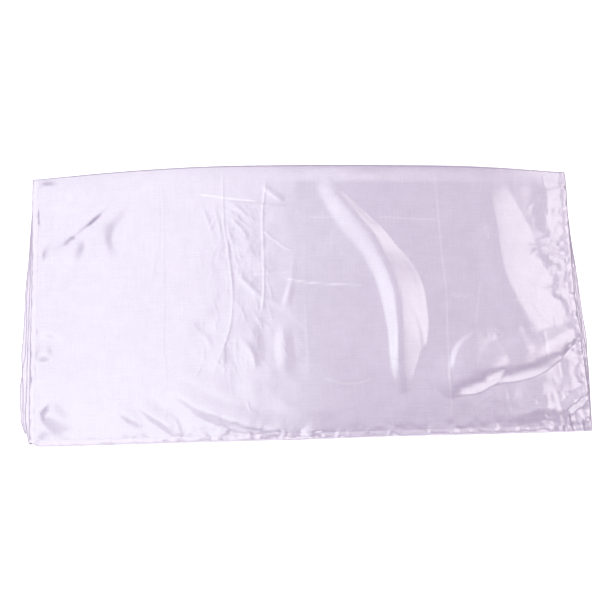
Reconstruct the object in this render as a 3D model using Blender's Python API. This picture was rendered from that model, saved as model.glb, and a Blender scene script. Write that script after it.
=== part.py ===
"""Evening stole in satin, folded in half and in half again and laid flat.

Metres, +Z up. The origin is on the surface that the stole lies on, under the middle of its outline.
+X runs along the double fold, and +Y points from the hemmed short end to that fold.

The top leaf, its fold and its three hems are the cloth that shows. The three leaves under it show only
at their edges, so they are one rounded solid with an edge for each leaf.
"""

import math
from collections import namedtuple

import bpy
import numpy as np

# Cloth and seams
WALL = 0.0010
SEAM_GAP = 0.0003
REST_GAP = 0.0005
HEM_WIDTH = 0.0100
HEM_THICKNESS = 0.0018
LEAF_LOFT = 0.0013
HIDDEN_LEAVES = 3

# How the pile of hidden leaves swells towards the fold and thins towards the short end
FOLD_SWELL_REACH = 0.070
FRONT_DROOP = 0.0008
FRONT_DROOP_REACH = 0.060
EDGE_ROLL = 0.0012

# The top leaf's near left corner is pulled back and rounded
CORNER_X = -0.425
CORNER_REACH = 0.020
CORNER_LIFT = 0.0120
LEAF_CORNER_REACH = 0.045

# How finely the solids are divided
LEAF_COLUMNS = 72
LEAF_ROWS = 20
PILE_COLUMNS = 30
PILE_ROWS = 10
SWELL_ROWS = 7
BEND_STEPS = 8
HEM_STEP = 0.0066
PATH_STEPS = 40

# Small waves that the hem stitching draws up, closer and further apart along the hem in a slow beat
PUCKER_LENGTH = 0.0205
PUCKER_HEIGHT = 0.0007
PUCKER_DRIFT = 2.2
PUCKERS_IN_BEAT = 5.3

# Where a long hem flattens to plain cloth on its way round the fold, in stations, and over how many
HEM_THINS_FROM = 0.94
HEM_THINS_OVER = 0.10

# One point of a hem's section: how far across it is from the inner edge to the outer, its height as a share
# of the hem's thickness, and how much of the puckers' rise it takes
HemPoint = namedtuple("HemPoint", "across height rise")
HEM_SECTION = (
    HemPoint(0.00, 0.00, 0.4),
    HemPoint(1.00, 0.00, 1.0),
    HemPoint(1.00, 0.62, 1.0),
    HemPoint(0.86, 1.00, 0.9),
    HemPoint(0.00, 0.86, 0.4),
)

# Sections across the stole, from the short end to the fold
Section = namedtuple("Section", "x fold_y fold_height hem_y")
SECTIONS = (
    Section(-0.450, 0.2215, 0.0065, -0.2305),
    Section(-0.400, 0.2250, 0.0068, -0.2315),
    Section(-0.300, 0.2312, 0.0072, -0.2320),
    Section(-0.180, 0.2352, 0.0080, -0.2325),
    Section(0.000, 0.2330, 0.0088, -0.2340),
    Section(0.150, 0.2278, 0.0094, -0.2340),
    Section(0.300, 0.2200, 0.0090, -0.2355),
    Section(0.450, 0.2045, 0.0072, -0.2360),
)

# The long edges: where the top leaf ends and where the lowest leaf ends
Side = namedtuple("Side", "y top_left low_left low_right top_right")
SIDES = (
    Side(-0.235, -0.4420, -0.4585, 0.4545, 0.4540),
    Side(-0.165, -0.4440, -0.4600, 0.4575, 0.4535),
    Side(-0.090, -0.4448, -0.4600, 0.4600, 0.4505),
    Side(0.010, -0.4450, -0.4570, 0.4555, 0.4470),
    Side(0.110, -0.4465, -0.4515, 0.4500, 0.4480),
    Side(0.225, -0.4480, -0.4465, 0.4480, 0.4495),
)

# The hidden leaves from the lowest up: how far each fans out to the lowest leaf's edge, and how far its
# front edge lies behind the top leaf's, along the front and at the near left corner
Leaf = namedtuple("Leaf", "fan setback corner_setback")
LOWEST = Leaf(1.00, 0.0075, 0.0220)
SECOND = Leaf(0.70, 0.0070, 0.0190)
UPPER = Leaf(0.35, 0.0035, 0.0040)

# One ring of the pile's edge: its height as a share of the pile's, and the leaves whose edge it follows.
# A ring of two leaves is the groove between them, behind both edges.
Ring = namedtuple("Ring", "share leaves inset")
RINGS = (
    Ring(0.00, (LOWEST,), EDGE_ROLL),
    Ring(0.09, (LOWEST,), 0.0),
    Ring(0.25, (LOWEST,), 0.0),
    Ring(0.33, (LOWEST, SECOND), EDGE_ROLL),
    Ring(0.42, (SECOND,), 0.0),
    Ring(0.58, (SECOND,), 0.0),
    Ring(0.67, (SECOND, UPPER), EDGE_ROLL),
    Ring(0.76, (UPPER,), 0.0),
    Ring(0.92, (UPPER,), 0.0),
    Ring(1.00, (UPPER,), EDGE_ROLL),
)
NOSE_SPREAD = math.radians(66)
NOSE_CLEARANCE = 0.0006

# The largest folds of the top leaf. Each is a soft ridge along a bend from start to end; left and right are
# its widths on the two sides of that line, seen along it. They fade out just before the double fold.
FOLDS_FADE_OVER = 0.06
Fold = namedtuple("Fold", "name start middle end height left right")
FOLDS = (
    Fold("long arc", (0.030, 0.215), (0.180, 0.085), (0.158, -0.150), 0.0042, 0.046, 0.034),
    Fold("far right slope", (0.325, 0.190), (0.318, 0.040), (0.372, -0.075), 0.0034, 0.085, 0.018),
    Fold("low right ridge", (0.222, -0.190), (0.290, -0.132), (0.345, -0.118), 0.0040, 0.022, 0.034),
    Fold("right edge ridge", (0.310, -0.150), (0.380, -0.100), (0.455, -0.078), 0.0042, 0.024, 0.034),
    Fold("right hook", (0.272, -0.070), (0.238, -0.100), (0.230, -0.148), 0.0022, 0.016, 0.018),
    Fold("near left ridge", (-0.235, -0.148), (-0.150, -0.195), (-0.040, -0.226), 0.0036, 0.026, 0.030),
    Fold("near left spoke", (-0.315, -0.160), (-0.275, -0.178), (-0.235, -0.222), 0.0020, 0.014, 0.014),
    Fold("far left spoke", (-0.310, 0.175), (-0.355, 0.138), (-0.398, 0.085), 0.0026, 0.016, 0.014),
    Fold("far left branch", (-0.325, 0.155), (-0.352, 0.115), (-0.322, 0.065), 0.0020, 0.018, 0.016),
    Fold("near left corner", (-0.432, -0.150), (-0.415, -0.178), (-0.385, -0.190), 0.0018, 0.018, 0.020),
    Fold("pressed line, left", (-0.128, 0.200), (-0.122, 0.060), (-0.142, -0.110), 0.0016, 0.020, 0.030),
    Fold("pressed line, middle", (-0.018, 0.075), (-0.022, -0.010), (-0.042, -0.105), 0.0018, 0.016, 0.030),
    Fold("pressed line, across", (-0.190, 0.188), (-0.100, 0.176), (0.000, 0.160), 0.0016, 0.016, 0.016),
    Fold("short smile", (0.020, -0.132), (0.068, -0.146), (0.120, -0.128), 0.0014, 0.012, 0.014),
)

# Satin: colour as in the light, roughness of a filament weave
SATIN_COLOUR = (0.640, 0.560, 0.730, 1.0)
HEM_COLOUR = (0.600, 0.520, 0.690, 1.0)
SATIN_ROUGHNESS = 0.38


def column(rows, name):
    """One named column of a table."""
    return np.array([getattr(row, name) for row in rows])


def through(rows, key, name, at):
    """A table's column read at a place between its rows, along a smooth curve through them."""
    keys, values = column(rows, key), column(rows, name)
    slopes = np.gradient(values, keys)
    at = np.clip(at, keys[0], keys[-1])
    i = np.clip(np.searchsorted(keys, at) - 1, 0, len(keys) - 2)
    span = keys[i + 1] - keys[i]
    t = (at - keys[i]) / span
    return (
        (1 + 2 * t) * (1 - t) ** 2 * values[i]
        + t * (1 - t) ** 2 * span * slopes[i]
        + t * t * (3 - 2 * t) * values[i + 1]
        + t * t * (t - 1) * span * slopes[i + 1]
    )


def ease(t):
    """A smooth step from 0 to 1."""
    t = np.clip(t, 0.0, 1.0)
    return t * t * (3 - 2 * t)


def mix(a, b, t):
    """The value a share t of the way from a to b."""
    return a + (b - a) * t


def fold_radius(x):
    """Half the height of the fold."""
    return through(SECTIONS, "x", "fold_height", x) / 2


def fold_centre(x):
    """The y of the line that the leaves bend round."""
    return through(SECTIONS, "x", "fold_y", x) - fold_radius(x)


def hem_line(x):
    """The y of the short end's edge."""
    return through(SECTIONS, "x", "hem_y", x)


def top_hem_line(x):
    """The y of the top leaf's edge, with its rounded near left corner."""
    return hem_line(x) + CORNER_LIFT * np.clip((CORNER_X - x) / CORNER_REACH, 0, 1) ** 2


def pile_height(x, y):
    """The top of the hidden leaves."""
    flat = HIDDEN_LEAVES * LEAF_LOFT
    at_fold = 2 * fold_radius(x) - WALL - REST_GAP
    swell = ease(1 - (fold_centre(x) - y) / FOLD_SWELL_REACH)
    droop = FRONT_DROOP * ease(1 - (y - hem_line(x)) / FRONT_DROOP_REACH)
    return mix(flat, at_fold, swell) - droop


def ridge(fold, x, y):
    """One soft fold's height over the points x, y."""
    t = np.linspace(0, 1, PATH_STEPS)[:, None]
    start, middle, end = (np.array(p) for p in (fold.start, fold.middle, fold.end))
    path = (1 - t) ** 2 * start + 2 * t * (1 - t) * middle + t * t * end
    along = np.gradient(path, axis=0)
    away = np.stack([x, y], -1)[..., None, :] - path
    nearest = np.argmin((away**2).sum(-1), -1)
    offset = np.take_along_axis(away, nearest[..., None, None], -2)[..., 0, :]
    run = along[nearest]
    left = run[..., 0] * offset[..., 1] - run[..., 1] * offset[..., 0] > 0
    reach = np.hypot(offset[..., 0], offset[..., 1]) / np.where(left, fold.left, fold.right)
    taper = np.sin(np.pi * (nearest + 1) / (PATH_STEPS + 1))
    return fold.height * taper * np.clip(1 - reach**2, 0, 1) ** 2


def relief(x, y):
    """How far the top leaf stands off the pile in its soft folds."""
    return sum(ridge(fold, x, y) for fold in FOLDS)


def on_top_leaf(x, station):
    """A point on the top leaf's underside and the way out of it. Stations 0 to 1 run from the short end's
    edge to the fold, and 1 to 2 round the fold to the surface below."""
    radius, centre = fold_radius(x), fold_centre(x)
    y = mix(top_hem_line(x), centre, np.clip(station, 0, 1))
    flat_z = pile_height(x, y) + REST_GAP
    angle = math.pi * (0.5 - np.clip(station - 1, 0, 1))
    bent = station > 1
    out_y = np.where(bent, np.cos(angle), 0.0)
    out_z = np.where(bent, np.sin(angle), 1.0)
    inner = radius - WALL
    place = np.stack(
        [x, np.where(bent, centre + inner * out_y, y), np.where(bent, radius + inner * out_z, flat_z)], -1
    )
    return place, np.stack([np.zeros_like(out_y), out_y, out_z], -1)


def side_x(name, y):
    """The x of one of the long edges."""
    return through(SIDES, "y", name, y)


def station_of(x, distance):
    """The station a distance in from the short end's edge."""
    return distance / (fold_centre(x) - top_hem_line(x))


def rows_to_fold(rows):
    """Shares of the way from the short end to the fold, even as far as the swell and closer on it."""
    swell = 1 - FOLD_SWELL_REACH / (SECTIONS[0].fold_y - SECTIONS[0].hem_y)
    return [*np.linspace(0, swell, rows, endpoint=False), *np.linspace(swell, 1, SWELL_ROWS + 1)]


def new_object(name, points, faces, colour):
    """A named object from its points and faces, in satin of one colour."""
    mesh = bpy.data.meshes.new(name)
    mesh.from_pydata([tuple(p) for p in points], [], faces)
    mesh.validate()
    mesh.shade_smooth()
    mesh.set_sharp_from_angle(angle=math.radians(40))
    thing = bpy.data.objects.new(name, mesh)
    bpy.context.scene.collection.objects.link(thing)
    finish = bpy.data.materials.new(name)
    finish.use_nodes = True
    shader = finish.node_tree.nodes["Principled BSDF"]
    shader.inputs["Base Color"].default_value = colour
    shader.inputs["Roughness"].default_value = SATIN_ROUGHNESS
    shader.inputs["Metallic"].default_value = 0.0
    mesh.materials.append(finish)
    return thing


def rim(columns, rows, index):
    """The points round a grid's edge, anticlockwise from its near left corner."""
    front = [index(i, 0) for i in range(columns)]
    right = [index(columns, j) for j in range(rows)]
    back = [index(i, rows) for i in range(columns, 0, -1)]
    left = [index(0, j) for j in range(rows, 0, -1)]
    return front + right + back + left


def grid_faces(columns, rows, index):
    """The faces of a grid, seen from above."""
    return [
        (index(i, j), index(i + 1, j), index(i + 1, j + 1), index(i, j + 1))
        for j in range(rows)
        for i in range(columns)
    ]


def band(lower, upper):
    """The faces between two closed rings, seen from outside."""
    count = len(lower)
    return [
        (lower[k], lower[(k + 1) % count], upper[(k + 1) % count], upper[k]) for k in range(count)
    ]


def top_leaf():
    """The leaf that shows: a wall of cloth with its soft folds, turned down round the fold."""
    rows = LEAF_ROWS + SWELL_ROWS + BEND_STEPS
    share = np.linspace(0, 1, LEAF_COLUMNS + 1)
    guess = mix(SIDES[0].top_left, SIDES[0].top_right, share)
    inset = HEM_WIDTH + SEAM_GAP
    flat = [mix(station_of(guess, inset), 1.0, v) for v in rows_to_fold(LEAF_ROWS)]
    bend = [np.full_like(guess, 1 + (j + 1) / BEND_STEPS) for j in range(BEND_STEPS)]
    under, over = [], []
    for station in flat + bend:
        y = on_top_leaf(guess, station)[0][:, 1]
        x = mix(side_x("top_left", y) + inset, side_x("top_right", y) - inset, share)
        place, out = on_top_leaf(x, station)
        lift = (relief(x, place[:, 1]) * ease((1 - station) / FOLDS_FADE_OVER))[:, None]
        under.append(place + out * lift)
        over.append(place + out * (lift + WALL))
    points = np.concatenate(under + over)
    width = LEAF_COLUMNS + 1
    half = width * (rows + 1)

    def below(i, j):
        return j * width + i

    def above(i, j):
        return half + j * width + i

    faces = [face[::-1] for face in grid_faces(LEAF_COLUMNS, rows, below)]
    faces += grid_faces(LEAF_COLUMNS, rows, above)
    faces += band(rim(LEAF_COLUMNS, rows, below), rim(LEAF_COLUMNS, rows, above))
    return new_object("top_leaf", points, faces, SATIN_COLOUR)


def pucker(distance):
    """The waves that the hem's stitching draws up, at a distance along it."""
    phase = 2 * math.pi * distance / PUCKER_LENGTH
    return PUCKER_HEIGHT * (1 + np.sin(phase + PUCKER_DRIFT * np.sin(phase / PUCKERS_IN_BEAT))) / 2


def hem_strip(name, rings):
    """A closed strip through a run of four-sided rings."""
    count = len(rings[0])
    loops = [[n * count + k for k in range(count)] for n in range(len(rings))]
    faces = [tuple(loops[0][::-1]), tuple(loops[-1])]
    for near, far in zip(loops, loops[1:]):
        faces += band(near, far)
    return new_object(name, np.concatenate(rings), faces, HEM_COLOUR)


def hem_ring(inner, outer, out, thickness, wave):
    """One ring of a hem: a flat turned edge whose outer side is rounded over and rides up in the wave."""
    return np.array(
        [mix(inner, outer, p.across) + out * (p.height * thickness + p.rise * wave) for p in HEM_SECTION]
    )


def front_hem():
    """The hem of the short end, between the two long hems."""
    inset = HEM_WIDTH + SEAM_GAP
    left = side_x("top_left", top_hem_line(SIDES[0].top_left)) + inset
    right = side_x("top_right", top_hem_line(SIDES[0].top_right)) - inset
    steps = round((right - left) / HEM_STEP)
    rings = []
    for n in range(steps + 1):
        x = mix(left, right, n / steps)
        outer, out = on_top_leaf(x, np.array(0.0))
        inner, _ = on_top_leaf(x, station_of(x, HEM_WIDTH))
        rings.append(hem_ring(inner, outer, out, HEM_THICKNESS, pucker(x)))
    return hem_strip("hem_front", rings[::-1])


def side_hem(name, edge, inward):
    """The hem of a long edge, from the short end over the fold to the surface below."""
    length = SECTIONS[0].fold_y - SECTIONS[0].hem_y
    flat = round(length / HEM_STEP)
    stations = [n / flat for n in range(flat + 1)] + [1 + (n + 1) / BEND_STEPS for n in range(BEND_STEPS)]
    rings = []
    for station in stations:
        guess = np.array(getattr(SIDES[0], edge))
        y = on_top_leaf(guess, np.array(station))[0][1]
        x = side_x(edge, y)
        outer, out = on_top_leaf(x, np.array(station))
        inner, _ = on_top_leaf(x + inward * HEM_WIDTH, np.array(station))
        turned = np.clip((station - HEM_THINS_FROM) / HEM_THINS_OVER, 0, 1)
        thickness = mix(HEM_THICKNESS, WALL, turned)
        rings.append(hem_ring(inner, outer, out, thickness, pucker(y + x) * (1 - turned)))
    return hem_strip(name, rings if inward > 0 else rings[::-1])


def pile_edges(ring, x, y):
    """The outline that a ring of the pile follows: its left and right x at y, and its front y at x."""
    lefts, rights, fronts = [], [], []
    for leaf in ring.leaves:
        lefts.append(mix(side_x("top_left", y), side_x("low_left", y), leaf.fan))
        rights.append(mix(side_x("top_right", y), side_x("low_right", y), leaf.fan))
        corner = np.exp(-(x - SECTIONS[0].x) / LEAF_CORNER_REACH)
        fronts.append(hem_line(x) + mix(leaf.setback, leaf.corner_setback, np.clip(corner, 0, 1)))
    return (
        max(lefts) + ring.inset,
        min(rights) - ring.inset,
        max(fronts) + ring.inset,
    )


def pile_point(ring, p, v):
    """A point of the pile: p from left to right and v from front to back, both 0 to 1."""
    x = mix(SECTIONS[0].x, SECTIONS[-1].x, p)
    y = mix(pile_edges(ring, x, 0.0)[2], fold_centre(x), v)
    left, right, _ = pile_edges(ring, x, y)
    x = mix(left, right, p)
    y = mix(pile_edges(ring, x, y)[2], fold_centre(x), v)
    return np.array([x, y, ring.share * pile_height(x, y)])


def nose_point(order, p):
    """A point of the pile's rounded back, inside the fold, on one of its rings."""
    last = len(RINGS) - 1
    x, y, _ = pile_point(RINGS[order], p, 1.0)
    if order == 0:
        return np.array([x, y - NOSE_CLEARANCE, 0.0])
    radius = fold_radius(x)
    inner = radius - WALL - REST_GAP
    if order == 1:
        return np.array([x, y - NOSE_CLEARANCE, radius - inner])
    if order == last:
        return np.array([x, y, radius + inner])
    angle = mix(-NOSE_SPREAD, NOSE_SPREAD, (order - 2) / (last - 3))
    return np.array([x, y + inner * math.cos(angle), radius + inner * math.sin(angle)])


def under_leaves():
    """The three hidden leaves as one rounded solid, with a rolled edge for each leaf."""
    shares_p = [i / PILE_COLUMNS for i in range(PILE_COLUMNS + 1)]
    shares_v = rows_to_fold(PILE_ROWS)
    rows = PILE_ROWS + SWELL_ROWS
    width = PILE_COLUMNS + 1
    stations = rim(PILE_COLUMNS, rows, lambda i, j: (i, j))
    points, loops = [], []
    for order, ring in enumerate(RINGS[:-1]):
        loops.append(list(range(len(points), len(points) + len(stations))))
        for i, j in stations:
            at_back = j == rows
            points.append(
                nose_point(order, shares_p[i]) if at_back else pile_point(ring, shares_p[i], shares_v[j])
            )
    cap_start = len(points)
    for v in shares_v:
        points += [pile_point(RINGS[-1], p, v) for p in shares_p]

    def cap(i, j):
        return cap_start + j * width + i

    loops.append(rim(PILE_COLUMNS, rows, cap))
    faces = [tuple(loops[0][::-1])] + grid_faces(PILE_COLUMNS, rows, cap)
    for lower, upper in zip(loops, loops[1:]):
        faces += band(lower, upper)
    return new_object("under_leaves", points, faces, SATIN_COLOUR)


for old in list(bpy.data.objects):
    bpy.data.objects.remove(old)

top_leaf()
front_hem()
side_hem("hem_left", "top_left", 1)
side_hem("hem_right", "top_right", -1)
under_leaves()
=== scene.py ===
import math
from collections import namedtuple

import bpy
import numpy as np
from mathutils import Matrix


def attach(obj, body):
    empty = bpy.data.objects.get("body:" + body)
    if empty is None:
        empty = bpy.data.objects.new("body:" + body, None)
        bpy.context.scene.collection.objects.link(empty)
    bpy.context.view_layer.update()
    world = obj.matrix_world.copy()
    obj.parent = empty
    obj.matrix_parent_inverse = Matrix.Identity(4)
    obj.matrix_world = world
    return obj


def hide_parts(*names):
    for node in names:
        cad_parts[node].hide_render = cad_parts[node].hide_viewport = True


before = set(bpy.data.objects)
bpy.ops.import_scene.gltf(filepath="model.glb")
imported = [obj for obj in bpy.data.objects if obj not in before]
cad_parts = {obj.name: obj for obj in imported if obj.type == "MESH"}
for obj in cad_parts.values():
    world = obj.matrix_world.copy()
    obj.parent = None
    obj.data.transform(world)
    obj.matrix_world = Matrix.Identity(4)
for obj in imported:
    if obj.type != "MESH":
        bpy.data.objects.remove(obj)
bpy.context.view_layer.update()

# The studio: the stole is photographed from above on a white sweep, under a dim overhead scrim with large
# cool softboxes on the left, warm ones on the right, strips in front and behind and a low lamp at the left.
# Satin shows them as its bright and dark fields, so their places decide which side of each fold lights up.
CAMERA_TARGET = (0.0050, -0.0135, 0.0)
CAMERA_DISTANCE = 1.90
CAMERA_TILT = math.radians(15.0)
CAMERA_TURN = math.radians(-1.95)
LENS_IN_PICTURE_WIDTHS = 1157 / 612
SENSOR_WIDTH = 36.0

bpy.ops.object.select_all(action="DESELECT")
camera_back = (
    math.sin(CAMERA_TILT) * math.sin(CAMERA_TURN),
    -math.sin(CAMERA_TILT) * math.cos(CAMERA_TURN),
    math.cos(CAMERA_TILT),
)
bpy.ops.object.camera_add(
    location=[t + CAMERA_DISTANCE * b for t, b in zip(CAMERA_TARGET, camera_back)],
    rotation=(CAMERA_TILT, 0, CAMERA_TURN),
)
camera = bpy.context.object
camera.data.sensor_width = SENSOR_WIDTH
camera.data.lens = SENSOR_WIDTH * LENS_IN_PICTURE_WIDTHS
bpy.context.scene.camera = camera
bpy.context.scene.view_settings.view_transform = "Standard"

LAMP_HEIGHT = 1.50
Softbox = namedtuple("Softbox", "name left right front back radiance colour")
SOFTBOXES = (
    Softbox("cool_softbox", -1.45, -0.27, 0.10, 1.60, 2.50, (0.97, 1.0, 0.98)),
    Softbox("cool_spill", -0.27, -0.04, 0.10, 1.45, 2.25, (0.97, 1.0, 0.99)),
    Softbox("cool_near_edge", -1.45, -0.06, -0.22, 0.10, 2.90, (0.96, 1.0, 0.97)),
    Softbox("cool_gap", -1.45, -0.27, -0.62, -0.22, 1.40, (0.97, 1.0, 0.99)),
    Softbox("cool_front", -1.45, -0.30, -1.30, -0.62, 2.60, (0.97, 1.0, 0.98)),
    Softbox("overhead_scrim", -0.04, 0.62, -0.12, 0.90, 1.08, (0.99, 0.98, 1.0)),
    Softbox("far_scrim", 0.62, 0.80, 0.80, 1.30, 0.80, (0.99, 0.98, 1.0)),
    Softbox("warm_softbox", 0.71, 1.55, -0.12, 0.78, 2.75, (1.0, 0.97, 0.95)),
    Softbox("warm_back", 0.80, 1.55, 0.93, 1.60, 3.00, (1.0, 0.97, 0.95)),
    Softbox("front_strip", -0.30, 2.10, -1.35, -0.52, 2.60, (1.0, 0.99, 0.98)),
    Softbox("back_strip", -0.06, 0.25, 0.90, 1.25, 2.45, (0.99, 0.98, 1.0)),
    Softbox("back_strip_right", 0.25, 0.62, 0.90, 1.25, 1.90, (0.99, 0.98, 1.0)),
)
for box in SOFTBOXES:
    width, depth = box.right - box.left, box.back - box.front
    bpy.ops.object.light_add(
        type="AREA",
        location=((box.left + box.right) / 2, (box.front + box.back) / 2, LAMP_HEIGHT),
    )
    lamp = bpy.context.object
    lamp.name = lamp.data.name = box.name
    lamp.data.shape = "RECTANGLE"
    lamp.data.size, lamp.data.size_y = width, depth
    lamp.data.energy = box.radiance * math.pi * width * depth
    lamp.data.color = box.colour
    lamp.visible_camera = False

SIDE_FILL = (-2.20, 0.0, 0.60)
SIDE_FILL_SIZE = (1.0, 2.6)
SIDE_FILL_RADIANCE = 1.1
bpy.ops.object.light_add(type="AREA", location=SIDE_FILL, rotation=(0, -math.pi / 2, 0))
side_fill = bpy.context.object
side_fill.name = side_fill.data.name = "side_fill"
side_fill.data.shape = "RECTANGLE"
side_fill.data.size, side_fill.data.size_y = SIDE_FILL_SIZE
side_fill.data.energy = SIDE_FILL_RADIANCE * math.pi * SIDE_FILL_SIZE[0] * SIDE_FILL_SIZE[1]
side_fill.data.color = (0.98, 0.96, 1.0)
side_fill.visible_camera = False

AIR_GLOW = 0.14
world = bpy.data.worlds.new("studio_air")
world.use_nodes = True
world.node_tree.nodes["Background"].inputs["Color"].default_value = (0.96, 0.96, 1.0, 1.0)
world.node_tree.nodes["Background"].inputs["Strength"].default_value = AIR_GLOW
bpy.context.scene.world = world

SWEEP_SIZE = 9.0
SWEEP_DROP = 0.0004
SWEEP_GLOW = 0.45
bpy.ops.mesh.primitive_plane_add(size=SWEEP_SIZE, location=(0, 0, -SWEEP_DROP))
sweep = bpy.context.object
sweep.name = "white_sweep"
paper = bpy.data.materials.new("white_paper")
paper.use_nodes = True
paper_shader = paper.node_tree.nodes["Principled BSDF"]
paper_shader.inputs["Base Color"].default_value = (0.96, 0.96, 0.96, 1.0)
paper_shader.inputs["Roughness"].default_value = 0.95
paper_shader.inputs["Specular IOR Level"].default_value = 0.1
paper_shader.inputs["Emission Color"].default_value = (1.0, 1.0, 1.0, 1.0)
paper_shader.inputs["Emission Strength"].default_value = SWEEP_GLOW
sweep.data.materials.append(paper)

# The top leaf: one leaf of filament satin, 90 cm wide, that runs from the hemmed short end to the double
# fold and turns down round it. It keeps the sharp lines it was packed in and the soft folds of being
# laid down by hand, and lies loosely on the three leaves under it.
MM = 0.001
CLOTH = 0.5 * MM
TOP_OVER_PILE = 1.5 * MM
LEAF_LOFT = 1.3 * MM
FOLD_SWELL_REACH = 70 * MM
FRONT_DROOP = 0.8 * MM
FRONT_DROOP_REACH = 60 * MM
LIP_DROOP = 0.5 * MM
LIP_REACH = 26 * MM
LIP_FROM, LIP_FADE = -60 * MM, 80 * MM
CORNER_X = -425 * MM
CORNER_REACH = 20 * MM
CORNER_LIFT = 12 * MM
SHOULDER_REACH = 30 * MM
SHOULDER_HEIGHT = 2.2 * MM
SHOULDER_ROUNDNESS = 1.6
SWELL_REACH = 105 * MM
SWELL_ROUNDNESS = 1.15
RELIEF_FADE = 0.04

Section = namedtuple("Section", "x fold_y fold_height hem_y")
SECTIONS = (
    Section(-0.450, 0.2215, 0.0065, -0.2305),
    Section(-0.400, 0.2250, 0.0068, -0.2315),
    Section(-0.300, 0.2312, 0.0072, -0.2320),
    Section(-0.180, 0.2352, 0.0080, -0.2325),
    Section(0.000, 0.2330, 0.0088, -0.2340),
    Section(0.150, 0.2278, 0.0094, -0.2340),
    Section(0.300, 0.2200, 0.0090, -0.2355),
    Section(0.450, 0.2045, 0.0072, -0.2360),
)

Side = namedtuple("Side", "y top_left low_left low_right top_right")
SIDES = (
    Side(-0.235, -0.4420, -0.4585, 0.4545, 0.4540),
    Side(-0.165, -0.4440, -0.4600, 0.4575, 0.4535),
    Side(-0.090, -0.4448, -0.4600, 0.4600, 0.4505),
    Side(0.010, -0.4450, -0.4570, 0.4555, 0.4470),
    Side(0.110, -0.4465, -0.4515, 0.4500, 0.4480),
    Side(0.225, -0.4480, -0.4465, 0.4480, 0.4495),
)


def through(rows, key, name, at):
    """A table's column read at a place between its rows, along a smooth curve through them."""
    keys = np.array([getattr(row, key) for row in rows])
    values = np.array([getattr(row, name) for row in rows])
    slopes = np.gradient(values, keys)
    at = np.clip(at, keys[0], keys[-1])
    i = np.clip(np.searchsorted(keys, at) - 1, 0, len(keys) - 2)
    span = keys[i + 1] - keys[i]
    t = (at - keys[i]) / span
    return (
        (1 + 2 * t) * (1 - t) ** 2 * values[i]
        + t * (1 - t) ** 2 * span * slopes[i]
        + t * t * (3 - 2 * t) * values[i + 1]
        + t * t * (t - 1) * span * slopes[i + 1]
    )


def ease(t):
    """A smooth step from 0 to 1."""
    t = np.clip(t, 0.0, 1.0)
    return t * t * (3 - 2 * t)


def mix(a, b, t):
    """The value a share t of the way from a to b."""
    return a + (b - a) * t


def fold_radius(x):
    """Half the height of the double fold."""
    return through(SECTIONS, "x", "fold_height", x) / 2


def fold_centre(x):
    """The y of the line that the leaves bend round."""
    return through(SECTIONS, "x", "fold_y", x) - fold_radius(x)


def top_edge_y(x):
    """The y of the top leaf's short end, with its rounded near left corner."""
    lift = CORNER_LIFT * np.clip((CORNER_X - x) / CORNER_REACH, 0, 1) ** 2
    return through(SECTIONS, "x", "hem_y", x) + lift


def pile_top(x, y):
    """The height of the three lower leaves together."""
    at_fold = 2 * fold_radius(x) - TOP_OVER_PILE
    swell = ease(1 - (fold_centre(x) - y) / FOLD_SWELL_REACH)
    droop = FRONT_DROOP * ease(1 - (y - through(SECTIONS, "x", "hem_y", x)) / FRONT_DROOP_REACH)
    return mix(3 * LEAF_LOFT, at_fold, swell) - droop


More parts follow.
